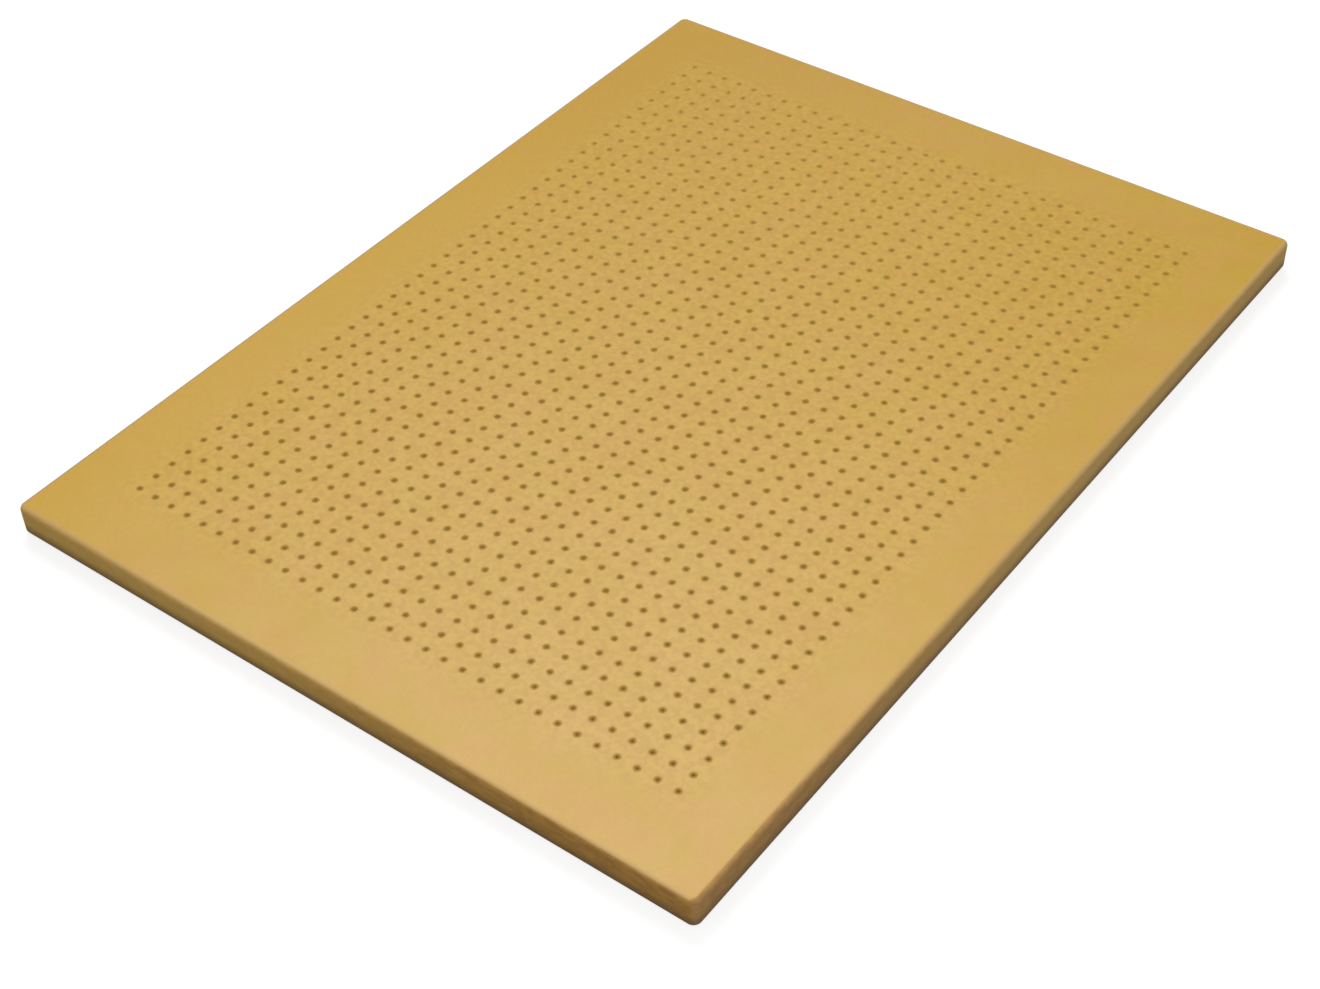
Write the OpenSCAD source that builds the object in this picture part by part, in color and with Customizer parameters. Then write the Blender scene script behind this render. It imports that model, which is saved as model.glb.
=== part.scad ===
// Perforated wooden panel: one flat rectangular board, rounded over along
// every edge, drilled right through with a square grid of fine holes that
// stops short of the edges and leaves a plain border all round.
//
// The panel lies on its back. X runs across it, Y along it and Z up, and the
// origin is at the centre of its underside. All sizes are in millimetres.

/* [Board] */
// Width of the board, along X
board_w = 375; // [200:5:380]
// Length of the board, along Y
board_l = 500; // [200:5:500]
// Thickness of the board
board_t = 16; // [12:1:25]

/* [Edges] */
// Radius of the round-over along the top and bottom edges
edge_r = 2.5; // [0.5:0.5:3.5]
// Radius of the four corners, seen from above
corner_r = 4; // [4:0.5:20]

/* [Perforation] */
// Diameter of each hole
hole_d = 1; // [0.5:0.5:5]
// Distance from one hole to the next, across and along
hole_pitch = 10; // [10:1:32]
// Least width of the plain border, from the edge to the outermost holes
border_min = 36; // [36:1:60]

/* [Hidden] */

// Holes that fit between the borders, across and along
hole_columns = floor((board_w - 2 * border_min) / hole_pitch) + 1;
hole_rows = floor((board_l - 2 * border_min) / hole_pitch) + 1;
// Reach of the hole field, between the centres of its outermost holes
field_w = (hole_columns - 1) * hole_pitch;
field_l = (hole_rows - 1) * hole_pitch;
// How far each drill runs past the two faces
drill_past = 1;

// Pale tan of the raw board
board_colour = [0.82, 0.67, 0.38];
// Sides of the drawn circles: the holes, those in the field's outer rings, and
// the round-overs and corners
hole_facets = 24;
outer_hole_facets = 8;
edge_facets = 48;
// Rings of holes, counted in from the border, that take the plainer circle
outer_rings = 2;

// Section of the routed edge: corner_r deep, the board's thickness high, with
// its outer side rounded over at the top and at the bottom. It lies in the XY
// plane with the outside at x = corner_r.
module edge_section() {
    flat_h = board_t - 2 * edge_r;
    square([corner_r - edge_r, board_t]);
    translate([0, edge_r])
        square([corner_r, flat_h]);
    for (y = [edge_r, board_t - edge_r])
        translate([corner_r - edge_r, y])
            intersection() {
                circle(r = edge_r, $fn = edge_facets);
                translate([0, y < board_t / 2 ? -edge_r : 0])
                    square(edge_r);
            }
}

// One straight stretch of edge, along Y with its outside facing +X
module straight_edge(run) {
    translate([0, run / 2, 0])
        rotate([90, 0, 0])
            linear_extrude(height = run)
                edge_section();
}

// One corner, turned about its own upright axis, filling the +X +Y quarter
module corner() {
    rotate_extrude(angle = 90, $fn = edge_facets)
        edge_section();
}

// The board before it is drilled: a flat core, and the routed edge carried
// round it. The second pass of the loop is the first one turned half round.
module blank() {
    core_w = board_w - 2 * corner_r;
    core_l = board_l - 2 * corner_r;
    translate([-core_w / 2, -core_l / 2, 0])
        cube([core_w, core_l, board_t]);
    for (turn = [0, 180])
        rotate([0, 0, turn]) {
            translate([core_w / 2, 0, 0])
                straight_edge(core_l);
            rotate([0, 0, 90])
                translate([core_l / 2, 0, 0])
                    straight_edge(core_w);
            translate([core_w / 2, core_l / 2, 0])
                corner();
            translate([-core_w / 2, core_l / 2, 0])
                rotate([0, 0, 90])
                    corner();
        }
}

// The ring of the field that a hole lies in, 0 for the outermost
function ring_of(column, row) =
    min(column, hole_columns - 1 - column, row, hole_rows - 1 - row);

// One drill, running past both faces
module drill(facets) {
    translate([0, 0, -drill_past])
        cylinder(d = hole_d, h = board_t + 2 * drill_past, $fn = facets);
}

// The drills: rows and columns of them about the board's centre
module perforation() {
    for (column = [0 : hole_columns - 1], row = [0 : hole_rows - 1])
        translate([
            column * hole_pitch - field_w / 2,
            row * hole_pitch - field_l / 2,
            0
        ])
            drill(ring_of(column, row) < outer_rings ? outer_hole_facets : hole_facets);
}

module perforated_panel() {
    color(board_colour)
        difference() {
            blank();
            perforation();
        }
}

perforated_panel();
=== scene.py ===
import math

import bpy
from mathutils import Matrix, Vector


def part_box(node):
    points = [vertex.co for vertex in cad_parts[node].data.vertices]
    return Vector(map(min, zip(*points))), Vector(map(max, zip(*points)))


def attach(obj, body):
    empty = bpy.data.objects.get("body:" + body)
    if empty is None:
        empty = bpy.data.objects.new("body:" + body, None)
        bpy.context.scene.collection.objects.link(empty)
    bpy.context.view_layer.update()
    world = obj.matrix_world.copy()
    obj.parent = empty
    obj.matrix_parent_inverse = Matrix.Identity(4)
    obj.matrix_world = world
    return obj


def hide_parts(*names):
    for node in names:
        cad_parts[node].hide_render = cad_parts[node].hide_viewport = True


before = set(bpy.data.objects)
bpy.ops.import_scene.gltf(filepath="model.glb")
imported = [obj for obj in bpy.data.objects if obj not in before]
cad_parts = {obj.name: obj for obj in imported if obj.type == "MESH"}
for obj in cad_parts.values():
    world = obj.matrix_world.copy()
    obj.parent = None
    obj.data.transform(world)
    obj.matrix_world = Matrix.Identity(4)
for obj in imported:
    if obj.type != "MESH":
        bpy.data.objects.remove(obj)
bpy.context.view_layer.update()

PANEL = "perforated_panel"
PANEL_LOW, PANEL_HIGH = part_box(PANEL)
WIDTH, LENGTH, THICKNESS = PANEL_HIGH - PANEL_LOW

# All sizes are in metres.
# The routed edge: its round-over, the corners seen from above, and the steps that each is drawn with
EDGE_RADIUS = 0.0025
EDGE_STEPS = 8
CORNER_RADIUS = 0.004
CORNER_STEPS = 10

# The drilled field. Its holes lie at whole pitches from the board's centre.
HOLE_PITCH = 0.010
HOLE_COLUMNS = 31
HOLE_ROWS = 43
HOLE_RADIUS = 0.0005
HOLE_SIDES = 16
# How far the drill has broken the rim of each hole, across and down
RIM_BREAK = 0.00012
# How far the outermost holes lie from the board's centre, across and along
FIELD_ACROSS = (HOLE_COLUMNS - 1) / 2 * HOLE_PITCH
FIELD_ALONG = (HOLE_ROWS - 1) / 2 * HOLE_PITCH

# Corners of faces that round to the same multiple of this are one vertex
WELD = 1e-7

# The surface map: the side of board that its square holds, and the gap between its patches
MAP_SIDE = 0.77
MAP_GAP = 0.004
# The strip of the map that the walls of all holes share, after one for each side of the board
WALL_STRIP = 4

# The camera, where the photograph was taken from: the point on the board that it looks at, and
# where it stands from there, in degrees round the board and above it
CAMERA_TARGET = Vector((0.0375, -0.0723, 0.008))
CAMERA_DISTANCE = 1.0140
CAMERA_AZIMUTH = 38.419
CAMERA_ELEVATION = 42.873
CAMERA_ROLL = -2.233
CAMERA_LENS = 61.85
CAMERA_SENSOR = 36.0

# The studio
FLOOR_SIDE = 8.0
FLOOR_GAP = 0.0002
FLOOR_ALBEDO = 0.30
# The floor's own glow: the distances from the board's centre that it rises between, and from
# what level to what
FLOOR_GLOW = (0.6, 2.0, 0.76, 1.0)
WORLD_LEVEL = 0.42
OVERHEAD_PLACE = Vector((-2.18, 2.32, 4.50))
OVERHEAD_SIZE = 2.31
OVERHEAD_POWER = 151.0
KEY_PLACE = Vector((0.75, -0.85, 1.35))
KEY_SIZE = 0.6
KEY_POWER = 9.0

# The board's colours, as linear values. First the face: its mottling, its cast towards the far
# sides, its painted shade towards the farthest corner, the grain that drilling has raised, its
# fibres and its specks
PALE = (0.547, 0.322, 0.055, 1.0)
DEEP = (0.509, 0.300, 0.021, 1.0)
WARM = (0.532, 0.302, 0.041, 1.0)
PINKISH = (0.546, 0.294, 0.048, 1.0)
OLIVE = (0.510, 0.326, 0.028, 1.0)
GOLDEN = (0.530, 0.305, 0.008, 1.0)
# painted shade, mixed in towards the farthest corner
FAR_CORNER_SHADE = (0.410, 0.190, 0.004, 1.0)
GRAIN_DARK = (0.470, 0.262, 0.028, 1.0)
GRAIN_LIGHT = (0.590, 0.362, 0.052, 1.0)
FIBRE = (0.620, 0.400, 0.075, 1.0)
SPECK = (0.330, 0.180, 0.016, 1.0)
# The arris: its painted highlight, a dimmer copy of it, and its painted shade
ARRIS_HIGHLIGHT = (0.610, 0.405, 0.165, 1.0)
ARRIS_HIGHLIGHT_DIM = (0.550, 0.355, 0.135, 1.0)
ARRIS_SHADE = (0.420, 0.290, 0.140, 1.0)
# The cut edge, with one dark colour for its specks and for the painted shade along its foot
EDGE_PALE = (0.480, 0.263, 0.065, 1.0)
EDGE_DEEP = (0.375, 0.194, 0.052, 1.0)
EDGE_SPECK_AND_FOOT_SHADE = (0.172, 0.108, 0.057, 1.0)
EDGE_FADED = (0.800, 0.550, 0.160, 1.0)
EDGE_GREY = (0.600, 0.450, 0.350, 1.0)
# The stain round the holes, and the white that the face's painted reflection adds
STAIN = (0.180, 0.095, 0.007, 1.0)
WHITE = (1.0, 1.0, 1.0, 1.0)

# The noises that the material is drawn with, each by its scale, its detail and its roughness
CLOUDS = (38.0, 3.0, 0.55)
PATCHES = (11.0, 2.0, 0.5)
BLUSHES = (52.0, 2.0, 0.5)
RAISED_GRAIN = (330.0, 2.0, 0.6)
SPECKS = (1900.0, 2.0, 0.6)
RAGGED_BORDER = (900.0, 2.0, 0.6)
FIBRES = (1.0, 1.0, 0.5)
CORE = (1.0, 5.0, 0.68)
# The last two are counted in grains: the size of one, and the ways that fibres lie, in degrees
FIBRE_GRAIN = (0.0004, 0.0020, 0.0007)
FIBRE_TURNS = (8.0, 68.0, 128.0)
CORE_GRAIN = (0.0067, 0.0067, 0.0026)

# The material's ramps: the two values that each runs between, and what it goes from and to, which
# is from 0 to 1 where only the two are given. First how sharply the noises show
CLOUD_CONTRAST = (0.32, 0.68)
PATCH_CONTRAST = (0.45, 0.70, 0.0, 0.35)
BLUSH_CONTRAST = (0.36, 0.64)
GRAIN_CONTRAST = (0.36, 0.64)
FIBRE_CONTRAST = (0.50, 0.78)
SPECK_CONTRAST = (0.62, 0.74)
CORE_CONTRAST = (0.34, 0.66)
# By how level the surface lies: where the face ends and the arris takes its painted highlight,
# the cut edge, and where an arris takes painted shade
OFF_FACE = (0.985, 0.9998, 1.0, 0.0)
CUT = (0.52, 0.94, 1.0, 0.0)
ARRIS_SHADE_LEVELS = (0.30, 0.80)
# By how far it faces X: where the cut starts more sharply, the dimmer painted highlight on the
# arris, and the greyer edge
SHARPER_SIDE = (0.10, 0.40)
DARKER_SIDE = (0.03, 0.20)
GREYER_SIDE = (0.30, 0.70)
# By how much more it faces Y than X: the sides that the camera doesn't see
FAR_SIDES = (0.03, 0.18)
# By the place from the near corner to the far one
SHARPER_AT_CORNER = (-0.41, -0.33, 0.26, 0.06)
FADED_AWAY = (-0.40, -0.15)
# painted shade on the face towards the farthest corner
CORNER_SHADE_RAMP = (0.15, 0.42, 0.0, 0.25)
# By the place along X
GOLDEN_SIDE = (-0.185, -0.100, 0.65, 0.0)
DARKER_LEFT = (-0.175, -0.040, 1.0, 0.0)
# By the height: the painted shade along the edge's foot
EDGE_FOOT_SHADE = (0.0010, 0.0085, 0.85, 0.0)
# By the place along Y less so much of X, and by the distance from a slanting line
# The painted reflection that pales the face towards the near corner, along the board and aside
REFLECTION_SLANT = 0.235
REFLECTION_ALONG = (-0.454, 0.269, 0.080, 0.028)
DIAGONAL_SLANT = 0.562
REFLECTION_ASIDE = (0.0, 0.506, 1.0, 0.34)
STAIN_SLANT = 0.35
STAIN_STRENGTH = (-0.10, 0.40, 0.74, 0.26)
# By the distance from a hole's axis, and how far that is ragged
STAIN_FADE = (0.0007, 0.0024, 1.0, 0.0)
STAIN_RAGGED = 0.0011

# How much of each shows. The raised grain fades out over so far past the outermost holes.
BLUSH_SHARE = 0.50
FIBRE_SHARE = 0.16
SPECK_SHARE = 0.20
GRAIN_IN_FIELD = 0.36
GRAIN_EVERYWHERE = 0.08
GRAIN_FADE = 0.015
FADED_SHARE = 0.40
FADED_MORE = 0.10
EDGE_SPECK_SHARE = 0.30
GREY_SHARE = 0.12
STAIN_LESS_DOWN = 0.38

# How high the relief of the surface stands, and its gloss
FIBRE_RELIEF = 0.000018
CLOUD_RELIEF = 0.00012
SPECK_RELIEF = 0.00002
CORE_RELIEF = 0.00016
ROUGHNESS = (0.30, 0.70, 0.26, 0.30)
FIBRE_ROUGHER = 0.03
CUT_ROUGHER = 0.60
SPECULAR_LEVEL = 0.08


class Surface:
    """A mesh gathered face by face. Faces that meet share their vertices, and a face that this
    leaves with no area is dropped."""

    def __init__(self):
        self.numbers = {}
        self.points = []
        self.faces = []
        self.smooth = []
        self.spots = []

    def vertex(self, point):
        key = tuple(round(c / WELD) for c in point)
        if key not in self.numbers:
            self.numbers[key] = len(self.points)
            self.points.append(point)
        return self.numbers[key]

    def add(self, points, spots, smooth):
        """Adds a face through the points, which lie at these spots of the surface map."""
        corners = [self.vertex(p) for p in points]
        kept = [k for k, corner in enumerate(corners) if corner != corners[k - 1]]
        if len(kept) > 2:
            self.faces.append([corners[k] for k in kept])
            self.smooth.append(smooth)
            self.spots.extend(spots[k] for k in kept)

    def build(self, name):
        mesh = bpy.data.meshes.new(name)
        mesh.from_pydata(self.points, [], self.faces)
        mesh.polygons.foreach_set("use_smooth", self.smooth)
        layer = mesh.uv_layers.new(name="OFBake")
        layer.uv.foreach_set("vector", [c / MAP_SIDE for spot in self.spots for c in spot])
        mesh.update()
        piece = bpy.data.objects.new(name, mesh)
        bpy.context.scene.collection.objects.link(piece)
        return piece


def cell_lines(count):
    """The lines between the cells of the drilled field, across it or along it."""
    return [(k - count / 2) * HOLE_PITCH for k in range(count + 1)]


def outline(half_width, half_length, radius):
    """One turn round the board seen from above, as four sides. Each is a straight run with a point
    at every cell line, and then its corner, so any two outlines match point by point."""
    lines = (cell_lines(HOLE_ROWS), cell_lines(HOLE_COLUMNS))
    reaches = (half_width, half_length)
    sides = []
    for quarter in range(4):
        out, reach = reaches[quarter % 2], reaches[1 - quarter % 2]
        side = [(out, line) for line in lines[quarter % 2]]
        for step in range(CORNER_STEPS + 1):
            angle = math.radians(90 * step / CORNER_STEPS)
            across = out - radius + radius * math.cos(angle)
            along = reach - radius + radius * math.sin(angle)
            side.append((across, along))
        turn = Matrix.Rotation(math.radians(90 * quarter), 2)
        sides.append([tuple(turn @ Vector(point)) for point in side])
    return sides


def edge_section():
    """The routed edge's section from the top face to the underside: how far each point of it lies
    inside the board's outermost side, and its height."""
    upper = [(CORNER_RADIUS, THICKNESS)]
    for step in range(EDGE_STEPS + 1):
        angle = math.radians(90 * step / EDGE_STEPS)
        inset = EDGE_RADIUS * (1 - math.sin(angle))
        upper.append((inset, THICKNESS - EDGE_RADIUS * (1 - math.cos(angle))))
    return upper + [(inset, THICKNESS - height) for inset, height in reversed(upper)]


def top_spot(point):
    """The top face's patch of the surface map."""
    return (MAP_GAP + point[1] + LENGTH / 2, MAP_GAP + point[0] + WIDTH / 2)


def bottom_spot(point):
    """The underside's patch, beside the top's."""
    along, across = top_spot(point)
    return (along, across + WIDTH + MAP_GAP)


def strip_spot(strip, along, down):
    """A strip of the map past the two patches: one for each side of the board, and the fifth for
    the walls of the holes, which all share it."""
    return (LENGTH + (3 + 2 * strip) * MAP_GAP + strip * THICKNESS + down, MAP_GAP + along)


def bridge(surface, side, upper, lower, spots_of, smooth):
    """Faces between two matching sides, each given as its points and their height."""
    (upper_points, upper_height), (lower_points, lower_height) = upper, lower
    along = 0.0
    for k in range(len(upper_points) - 1):
        corners = [
            (*upper_points[k], upper_height),
            (*lower_points[k], lower_height),
            (*lower_points[k + 1], lower_height),
            (*upper_points[k + 1], upper_height),
        ]
        step = math.dist(upper_points[k], upper_points[k + 1])
        step = max(step, math.dist(lower_points[k], lower_points[k + 1]))
        surface.add(corners, spots_of(corners, side, along, along + step), smooth)
        along += step


def add_border_and_edge(surface):
    """The plain border on both faces, and the routed edge between them."""
    field = outline(HOLE_COLUMNS * HOLE_PITCH / 2, HOLE_ROWS * HOLE_PITCH / 2, 0)
    section = edge_section()
    rings = [(field, THICKNESS)]
    downs = [0.0, 0.0]
    for k, (inset, height) in enumerate(section):
        ring = outline(WIDTH / 2 - inset, LENGTH / 2 - inset, CORNER_RADIUS - inset)
        rings.append((ring, height))
        if k:
            downs.append(downs[-1] + math.dist(section[k - 1], section[k]))
    rings.append((field, 0.0))

    def on_face(spot):
        return lambda corners, side, start, end: [spot(c) for c in corners]

    def on_side(near, far):
        def spots(corners, side, start, end):
            places = ((start, near), (start, far), (end, far), (end, near))
            return [strip_spot(side, *place) for place in places]
        return spots

    flats = 2  # bridges on each face: the border, and the flat beside the round-over
    for r in range(len(rings) - 1):
        if r < flats:
            spots_of = on_face(top_spot)
        elif r >= len(rings) - 1 - flats:
            spots_of = on_face(bottom_spot)
        else:
            spots_of = on_side(downs[r], downs[r + 1])
        smooth = 0 < r < len(rings) - 2
        (upper, upper_height), (lower, lower_height) = rings[r], rings[r + 1]
        for side in range(4):
            # a side ends where the next one starts
            after = (side + 1) % 4
            above = (upper[side] + upper[after][:1], upper_height)
            below = (lower[side] + lower[after][:1], lower_height)
            bridge(surface, side, above, below, spots_of, smooth)


def add_cell_face(surface, x, y, ring, spot, turn):
    """A cell's face round its hole, as fans between the cell's corners and the hole's ring."""
    half, quarter = HOLE_PITCH / 2, HOLE_SIDES // 4
    height = ring[0][2]
    signs = ((1, 1), (-1, 1), (-1, -1), (1, -1))
    corners = [(x + right * half, y + up * half, height) for right, up in signs]
    faces = [
        (ring[k], corners[k // quarter], ring[(k + 1) % HOLE_SIDES])
        for k in range(HOLE_SIDES)
    ]
    faces += [
        (corners[q], corners[(q + 1) % 4], ring[(q + 1) * quarter % HOLE_SIDES])
        for q in range(4)
    ]
    for face in faces:
        surface.add(face[::turn], [spot(p) for p in face[::turn]], False)


def add_hole_wall(surface, rings):
    """A hole's wall between its four rings: a broken rim, the bore, and the other rim. The rims
    lie in the faces' patches of the surface map, and the bore in a strip of its own."""
    facet = 2 * math.pi * HOLE_RADIUS / HOLE_SIDES
    for k in range(HOLE_SIDES):
        after = (k + 1) % HOLE_SIDES
        start = k * facet
        end = start + facet
        bore = ((start, 0.0), (end, 0.0), (end, THICKNESS), (start, THICKNESS))
        walls = [
            [upper[k], upper[after], lower[after], lower[k]]
            for upper, lower in zip(rings, rings[1:])
        ]
        spots = (
            [top_spot(p) for p in walls[0]],
            [strip_spot(WALL_STRIP, *place) for place in bore],
            [bottom_spot(p) for p in walls[2]],
        )
        for wall, places in zip(walls, spots):
            surface.add(wall, places, True)


def add_cell(surface, x, y):
    """One cell of the drilled field: both faces round a hole, and its wall with the broken rims."""
    wide = HOLE_RADIUS + RIM_BREAK
    levels = (
        (wide, THICKNESS),
        (HOLE_RADIUS, THICKNESS - RIM_BREAK),
        (HOLE_RADIUS, RIM_BREAK),
        (wide, 0.0),
    )
    angles = [2 * math.pi * k / HOLE_SIDES for k in range(HOLE_SIDES)]
    rings = [
        [(x + radius * math.cos(a), y + radius * math.sin(a), height) for a in angles]
        for radius, height in levels
    ]
    add_cell_face(surface, x, y, rings[0], top_spot, 1)
    add_cell_face(surface, x, y, rings[3], bottom_spot, -1)
    add_hole_wall(surface, rings)


def make_board():
    """The whole board as one closed mesh, where the CAD panel is."""
    surface = Surface()
    add_border_and_edge(surface)
    for column in range(HOLE_COLUMNS):
        for row in range(HOLE_ROWS):
            x = (column - (HOLE_COLUMNS - 1) / 2) * HOLE_PITCH
            y = (row - (HOLE_ROWS - 1) / 2) * HOLE_PITCH
            add_cell(surface, x, y)
    return surface.build("board")


class Graph:
    """A material's nodes, made by short calls that each return the socket to read."""

    def __init__(self, name):
        self.material = bpy.data.materials.new(name)
        self.material.use_nodes = True
        self.tree = self.material.node_tree
        self.tree.nodes.clear()
        self.output = self.tree.nodes.new("ShaderNodeOutputMaterial")

    def feed(self, socket, value):
        if isinstance(value, bpy.types.NodeSocket):
            self.tree.links.new(value, socket)
        else:
            socket.default_value = value

    def node(self, kind, **inputs):
        made = self.tree.nodes.new(kind)
        for name, value in inputs.items():
            self.feed(made.inputs[name.replace("_", " ")], value)
        return made

    def math(self, operation, *values):
        made = self.tree.nodes.new("ShaderNodeMath")
        made.operation = operation
        for socket, value in zip(made.inputs, values):
            self.feed(socket, value)
        return made.outputs[0]

    def plus(self, first, second):
        return self.math("ADD", first, second)

    def minus(self, first, second):
        return self.math("SUBTRACT", first, second)

    def times(self, first, second):
        return self.math("MULTIPLY", first, second)

    def larger(self, first, second):
        return self.math("MAXIMUM", first, second)

    def absolute(self, value):
        return self.math("ABSOLUTE", value)

    def ramp(self, value, start, end, low=0.0, high=1.0):
        """Goes smoothly from low to high as value goes from start to end."""
        made = self.tree.nodes.new("ShaderNodeMapRange")
        made.interpolation_type = "SMOOTHSTEP"
        for socket, given in zip(made.inputs, (value, start, end, low, high)):
            self.feed(socket, given)
        return made.outputs[0]

    def mix(self, share, first, second, blend="MIX"):
        """A colour between first and second, or with "ADD" the first and so much of the second."""
        made = self.tree.nodes.new("ShaderNodeMix")
        made.data_type = "RGBA"
        made.blend_type = blend
        share_socket, first_socket, second_socket = made.inputs[0], made.inputs[6], made.inputs[7]
        self.feed(share_socket, share)
        self.feed(first_socket, first)
        self.feed(second_socket, second)
        return made.outputs[2]

    def noise(self, place, scale, detail, roughness):
        made = self.node("ShaderNodeTexNoise", Vector=place, Scale=scale, Detail=detail)
        made.inputs["Roughness"].default_value = roughness
        return made.outputs["Fac"]

    def stretched(self, place, grain, turn=0.0):
        """The place counted in grains of this size, which lie turned about Z by so many degrees."""
        made = self.node("ShaderNodeMapping", Vector=place, Scale=grain)
        made.vector_type = "TEXTURE"
        made.inputs["Rotation"].default_value = (0.0, 0.0, math.radians(turn))
        return made.outputs[0]


class BoardGraph(Graph):
    """The board's material. What several of its parts read is kept as a socket."""

    def __init__(self):
        super().__init__("raw_wood_fibre_board")
        self.place = self.node("ShaderNodeTexCoord").outputs["Object"]
        self.x, self.y, self.z = self.node("ShaderNodeSeparateXYZ", Vector=self.place).outputs
        normal = self.node("ShaderNodeNewGeometry").outputs["Normal"]
        facing = self.node("ShaderNodeSeparateXYZ", Vector=normal).outputs
        self.facing_x, self.facing_y = facing[0], facing[1]
        # 1 where the surface lies flat, and 0 where it stands upright
        self.level = self.absolute(facing[2])
        # how far a place lies from the board's middle towards the corner farthest from the camera
        self.away = self.minus(self.y, self.x)

        # 0 on the two faces, and 1 on the routed edge and in the holes. The arris takes its painted
        # highlight before it is cut, and the cut starts sharper on the side that faces X, above all by
        # the near corner.
        self.off_face = self.ramp(self.level, *OFF_FACE)
        sharper = self.times(
            self.ramp(self.facing_x, *SHARPER_SIDE),
            self.ramp(self.away, *SHARPER_AT_CORNER),
        )
        self.cut = self.ramp(self.minus(self.level, sharper), *CUT)

        # short fibres that lie every way, dark specks, the soft clouds that the fibres mat into,
        # and the coarser core that the edge cuts open
        self.fibre = self.ramp(self.fibres(), *FIBRE_CONTRAST)
        self.speck = self.ramp(self.noise(self.place, *SPECKS), *SPECK_CONTRAST)
        self.cloud = self.noise(self.place, *CLOUDS)
        self.core = self.noise(self.stretched(self.place, CORE_GRAIN), *CORE)

    def fibres(self):
        first, second, third = [
            self.noise(self.stretched(self.place, FIBRE_GRAIN, turn), *FIBRES)
            for turn in FIBRE_TURNS
        ]
        return self.larger(self.larger(first, second), third)

    def rim(self):
        """1 at a hole and 0 a little way from it, with a ragged border. The holes lie at whole
        pitches, so the distance from the nearest one repeats."""
        half = HOLE_PITCH / 2
        near_x = self.math("WRAP", self.x, half, -half)
        near_y = self.math("WRAP", self.y, half, -half)
        squares = self.plus(self.times(near_x, near_x), self.times(near_y, near_y))
        ragged = self.minus(self.noise(self.place, *RAGGED_BORDER), 0.5)
        from_axis = self.plus(self.math("SQRT", squares), self.times(ragged, STAIN_RAGGED))
        in_columns = self.math("LESS_THAN", self.absolute(self.x), HOLE_COLUMNS * half)
        in_rows = self.math("LESS_THAN", self.absolute(self.y), HOLE_ROWS * half)
        return self.times(self.times(in_columns, in_rows), self.ramp(from_axis, *STAIN_FADE))

    def painted_reflection(self):
        """How strong the painted reflection is that pales the face: more towards the near corner, and
        less away from the diagonal through it."""
        along = self.minus(self.y, self.times(self.x, REFLECTION_SLANT))
        aside = self.absolute(self.plus(self.x, self.times(self.y, DIAGONAL_SLANT)))
        return self.times(self.ramp(along, *REFLECTION_ALONG), self.ramp(aside, *REFLECTION_ASIDE))

    def grain_share(self):
        """How strong the grain is that drilling has raised: full in the field, and faint on the
        plain border."""
        across = self.ramp(self.absolute(self.x), FIELD_ACROSS, FIELD_ACROSS + GRAIN_FADE, 1.0, 0.0)
        along = self.ramp(self.absolute(self.y), FIELD_ALONG, FIELD_ALONG + GRAIN_FADE, 1.0, 0.0)
        return self.plus(self.times(self.times(across, along), GRAIN_IN_FIELD), GRAIN_EVERYWHERE)

    def face(self):
        """The flat faces: mottled, golden along the side that faces away from X, with painted shade
        towards the farthest corner, and a painted reflection that pales them towards the near
        corner."""
        patch = self.noise(self.place, *PATCHES)
        blush = self.noise(self.place, *BLUSHES)
        grain = self.ramp(self.noise(self.place, *RAISED_GRAIN), *GRAIN_CONTRAST)
        face = self.mix(self.ramp(self.cloud, *CLOUD_CONTRAST), PALE, DEEP)
        face = self.mix(self.ramp(patch, *PATCH_CONTRAST), face, WARM)
        face = self.mix(BLUSH_SHARE, face, self.mix(self.ramp(blush, *BLUSH_CONTRAST), OLIVE, PINKISH))
        face = self.mix(self.ramp(self.x, *GOLDEN_SIDE), face, GOLDEN)
        # painted shade towards the farthest corner
        face = self.mix(self.ramp(self.away, *CORNER_SHADE_RAMP), face, FAR_CORNER_SHADE)
        face = self.mix(self.grain_share(), face, self.mix(grain, GRAIN_DARK, GRAIN_LIGHT))
        face = self.mix(self.times(self.fibre, FIBRE_SHARE), face, FIBRE)
        face = self.mix(self.times(self.speck, SPECK_SHARE), face, SPECK)
        # painted reflection: white added to the face towards the near corner
        return self.mix(self.painted_reflection(), face, WHITE, "ADD")

    def arris(self):
        """The arris's painted highlight, dimmer on the side that faces X and towards the left corner.
        """
        darker = self.larger(self.ramp(self.facing_x, *DARKER_SIDE), self.ramp(self.x, *DARKER_LEFT))
        return self.mix(darker, ARRIS_HIGHLIGHT, ARRIS_HIGHLIGHT_DIM)

    def edge(self):
        """The cut edge: browner and coarser than the face, with dark specks, and painted shade along
        its foot. It has faded away from the near corner, and the side that faces X is greyer."""
        greyer = self.ramp(self.facing_x, *GREYER_SIDE)
        most = self.plus(FADED_SHARE, self.times(greyer, FADED_MORE))
        faded = self.times(self.ramp(self.away, *FADED_AWAY), most)
        edge = self.mix(self.ramp(self.core, *CORE_CONTRAST), EDGE_PALE, EDGE_DEEP)
        edge = self.mix(faded, edge, EDGE_FADED)
        edge = self.mix(self.times(self.speck, EDGE_SPECK_SHARE), edge, EDGE_SPECK_AND_FOOT_SHADE)
        # painted shade along the foot of the edge
        edge = self.mix(self.ramp(self.z, *EDGE_FOOT_SHADE), edge, EDGE_SPECK_AND_FOOT_SHADE)
        return self.mix(self.times(greyer, GREY_SHARE), edge, EDGE_GREY)

    def arris_shade(self):
        """How strong the painted shade on the arris is, which lies only on the two sides that the
        camera doesn't see.
        """
        far_sides = self.ramp(self.minus(self.facing_y, self.facing_x), *FAR_SIDES)
        return self.times(self.times(far_sides, self.ramp(self.level, *ARRIS_SHADE_LEVELS)), self.off_face)

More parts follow.
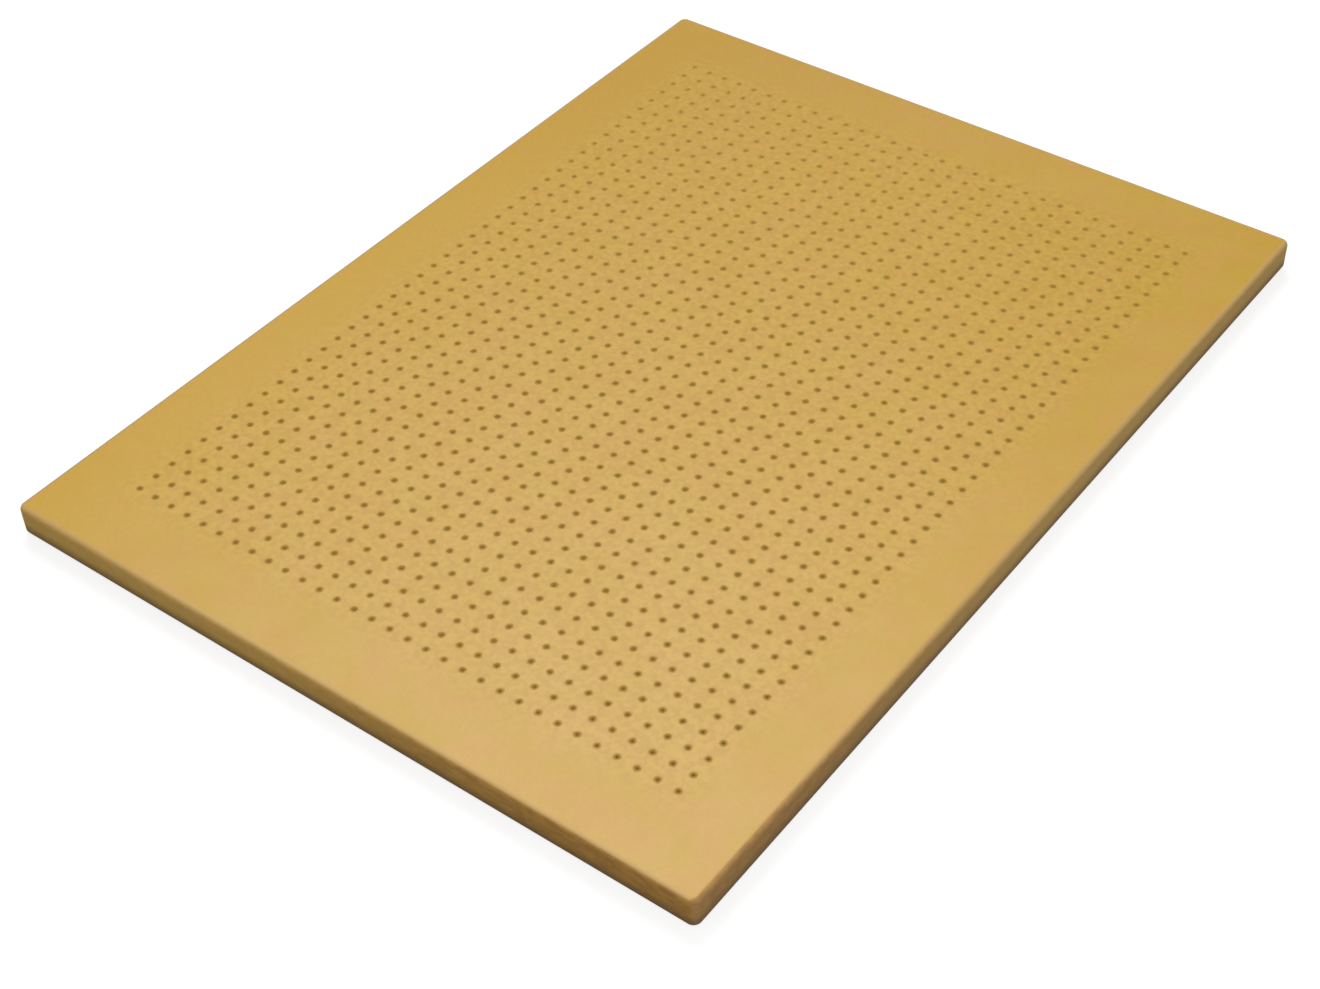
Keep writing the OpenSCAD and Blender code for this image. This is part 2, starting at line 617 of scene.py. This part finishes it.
    def stain(self):
        """How strong the brown stain round a hole is: weaker down its wall, and fainter towards the
        board's far end."""
        away = self.minus(self.y, self.times(self.x, STAIN_SLANT))
        return self.minus(self.ramp(away, *STAIN_STRENGTH), self.times(self.cut, STAIN_LESS_DOWN))

    def relief(self):
        """The surface's height, in metres. The core stands out only where it is cut."""
        relief = self.plus(self.times(self.fibre, FIBRE_RELIEF), self.times(self.cloud, CLOUD_RELIEF))
        relief = self.minus(relief, self.times(self.speck, SPECK_RELIEF))
        return self.plus(relief, self.times(self.cut, self.times(self.core, CORE_RELIEF)))

    def roughness(self, rim):
        """Fairly smooth on the face, and rough where it is cut and round the holes."""
        rough = self.ramp(self.cloud, *ROUGHNESS)
        rough = self.plus(rough, self.times(self.fibre, FIBRE_ROUGHER))
        return self.plus(rough, self.times(self.larger(self.cut, rim), CUT_ROUGHER))


def board_material():
    """The face with its painted reflection and shade, the arris with its painted highlight and shade,
    the cut edge with painted shade along its foot, and the stained rims in one material.
    """
    graph = BoardGraph()
    rim = graph.rim()
    # painted highlight on the arris, where the face starts to round over
    colour = graph.mix(graph.off_face, graph.face(), graph.arris())
    colour = graph.mix(graph.cut, colour, graph.edge())
    # painted shade along the arris of the two far sides
    colour = graph.mix(graph.arris_shade(), colour, ARRIS_SHADE)
    colour = graph.mix(graph.times(rim, graph.stain()), colour, STAIN)
    bump = graph.node("ShaderNodeBump", Height=graph.relief(), Strength=1.0, Distance=1.0)
    shader = graph.node("ShaderNodeBsdfPrincipled", Base_Color=colour, Roughness=graph.roughness(rim))
    shader.inputs["Specular IOR Level"].default_value = SPECULAR_LEVEL
    graph.feed(shader.inputs["Normal"], bump.outputs[0])
    graph.tree.links.new(shader.outputs[0], graph.output.inputs["Surface"])
    return graph.material


def shown(tree):
    """1 for a ray that shows a surface to the camera, straight or by a reflection, and else 0."""
    path = tree.nodes.new("ShaderNodeLightPath").outputs
    either = path["Is Camera Ray"]
    for other in ("Is Glossy Ray", "Is Transmission Ray"):
        most = tree.nodes.new("ShaderNodeMath")
        most.operation = "MAXIMUM"
        tree.links.new(either, most.inputs[0])
        tree.links.new(path[other], most.inputs[1])
        either = most.outputs[0]
    return either


def make_floor():
    """A pale matte floor that a glow of its own lifts to white where the camera sees it, more so
    far off, where less light falls on it. It doesn't glow beneath the board, so the holes stay
    dark."""
    graph = Graph("studio_floor")
    grey = (FLOOR_ALBEDO, FLOOR_ALBEDO, FLOOR_ALBEDO, 1.0)
    matte = graph.node("ShaderNodeBsdfDiffuse", Color=grey)
    place = graph.node("ShaderNodeTexCoord").outputs["Object"]
    x, y, _ = graph.node("ShaderNodeSeparateXYZ", Vector=place).outputs
    across, along = graph.absolute(x), graph.absolute(y)
    past_side = graph.math("GREATER_THAN", across, WIDTH / 2 - CORNER_RADIUS)
    past_end = graph.math("GREATER_THAN", along, LENGTH / 2 - CORNER_RADIUS)
    seen = graph.times(shown(graph.tree), graph.larger(past_side, past_end))
    level = graph.times(seen, graph.ramp(graph.larger(across, along), *FLOOR_GLOW))
    glow = graph.node("ShaderNodeEmission", Strength=level)
    both = graph.tree.nodes.new("ShaderNodeAddShader")
    graph.tree.links.new(matte.outputs[0], both.inputs[0])
    graph.tree.links.new(glow.outputs[0], both.inputs[1])
    graph.tree.links.new(both.outputs[0], graph.output.inputs["Surface"])
    half = FLOOR_SIDE / 2
    corners = [(-half, -half, 0), (half, -half, 0), (half, half, 0), (-half, half, 0)]
    mesh = bpy.data.meshes.new("floor")
    mesh.from_pydata(corners, [], [(0, 1, 2, 3)])
    mesh.materials.append(graph.material)
    floor = bpy.data.objects.new("floor", mesh)
    floor.location.z = PANEL_LOW.z - FLOOR_GAP
    bpy.context.scene.collection.objects.link(floor)


def make_world():
    """White where it is seen, and dimmer as a light."""
    world = bpy.data.worlds.new("studio")
    world.use_nodes = True
    tree = world.node_tree
    background = tree.nodes["Background"]
    background.inputs["Color"].default_value = WHITE
    level = tree.nodes.new("ShaderNodeMapRange")
    level.inputs["To Min"].default_value = WORLD_LEVEL
    level.inputs["To Max"].default_value = 1.0
    tree.links.new(shown(tree), level.inputs["Value"])
    tree.links.new(level.outputs[0], background.inputs["Strength"])
    bpy.context.scene.world = world


def softbox(name, place, size, power):
    """A square lamp that faces the board's centre."""
    lamp = bpy.data.lights.new(name, "AREA")
    lamp.shape = "SQUARE"
    lamp.size = size
    lamp.energy = power
    holder = bpy.data.objects.new(name, lamp)
    holder.location = place
    holder.rotation_euler = (-place).to_track_quat("-Z", "Y").to_euler()
    bpy.context.scene.collection.objects.link(holder)


def make_camera():
    """The camera, from its named values."""
    azimuth, elevation = math.radians(CAMERA_AZIMUTH), math.radians(CAMERA_ELEVATION)
    back = Vector((
        math.sin(azimuth) * math.cos(elevation),
        -math.cos(azimuth) * math.cos(elevation),
        math.sin(elevation),
    ))
    data = bpy.data.cameras.new("camera")
    data.lens = CAMERA_LENS
    data.sensor_width = CAMERA_SENSOR
    camera = bpy.data.objects.new("camera", data)
    level = (-back).to_track_quat("-Z", "Y").to_matrix().to_4x4()
    roll = Matrix.Rotation(math.radians(CAMERA_ROLL), 4, "Z")
    place = Matrix.Translation(CAMERA_TARGET + back * CAMERA_DISTANCE)
    camera.matrix_world = place @ level @ roll
    bpy.context.scene.collection.objects.link(camera)
    bpy.context.scene.camera = camera


board = make_board()
board.data.materials.append(board_material())
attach(board, "root")
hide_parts(PANEL)

make_floor()
make_world()
softbox("overhead", OVERHEAD_PLACE, OVERHEAD_SIZE, OVERHEAD_POWER)
softbox("key", KEY_PLACE, KEY_SIZE, KEY_POWER)
make_camera()
bpy.context.scene.view_settings.view_transform = "Standard"
